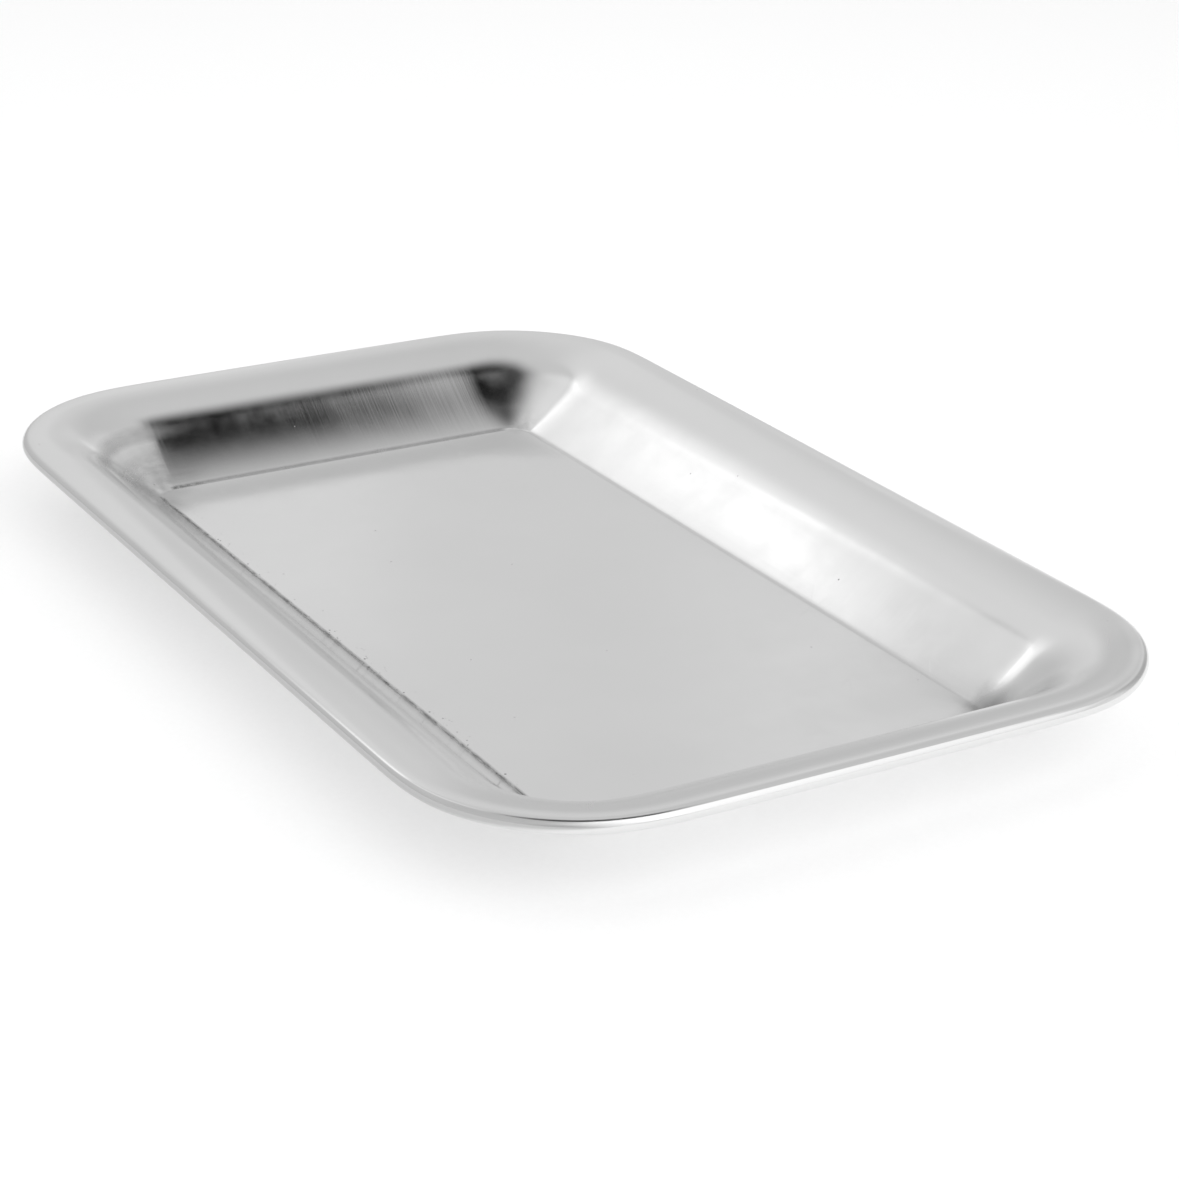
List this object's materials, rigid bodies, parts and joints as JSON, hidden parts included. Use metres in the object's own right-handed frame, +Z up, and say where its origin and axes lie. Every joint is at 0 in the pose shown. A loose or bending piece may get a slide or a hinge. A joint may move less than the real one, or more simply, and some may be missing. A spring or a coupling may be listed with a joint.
{
  "type": "developing tray",
  "caption": "Shallow rectangular tray pressed from stainless sheet, with a flat floor, flared walls, rounded corners and a rolled rim.",
  "frame": {"origin": "under the middle of the tray, on the plane that its floor stands on", "axes": "+X along the tray's length, +Y across its width, +Z up out of the open top"},
  "size_m": [0.24, 0.15, 0.0158],
  "materials": {
    "polished_steel": "satin-polished stainless steel, bare, with fine polishing streaks and light handling marks"
  },
  "bodies": {
    "root": {"tray_pan": "polished_steel"}
  },
  "joints": []
}
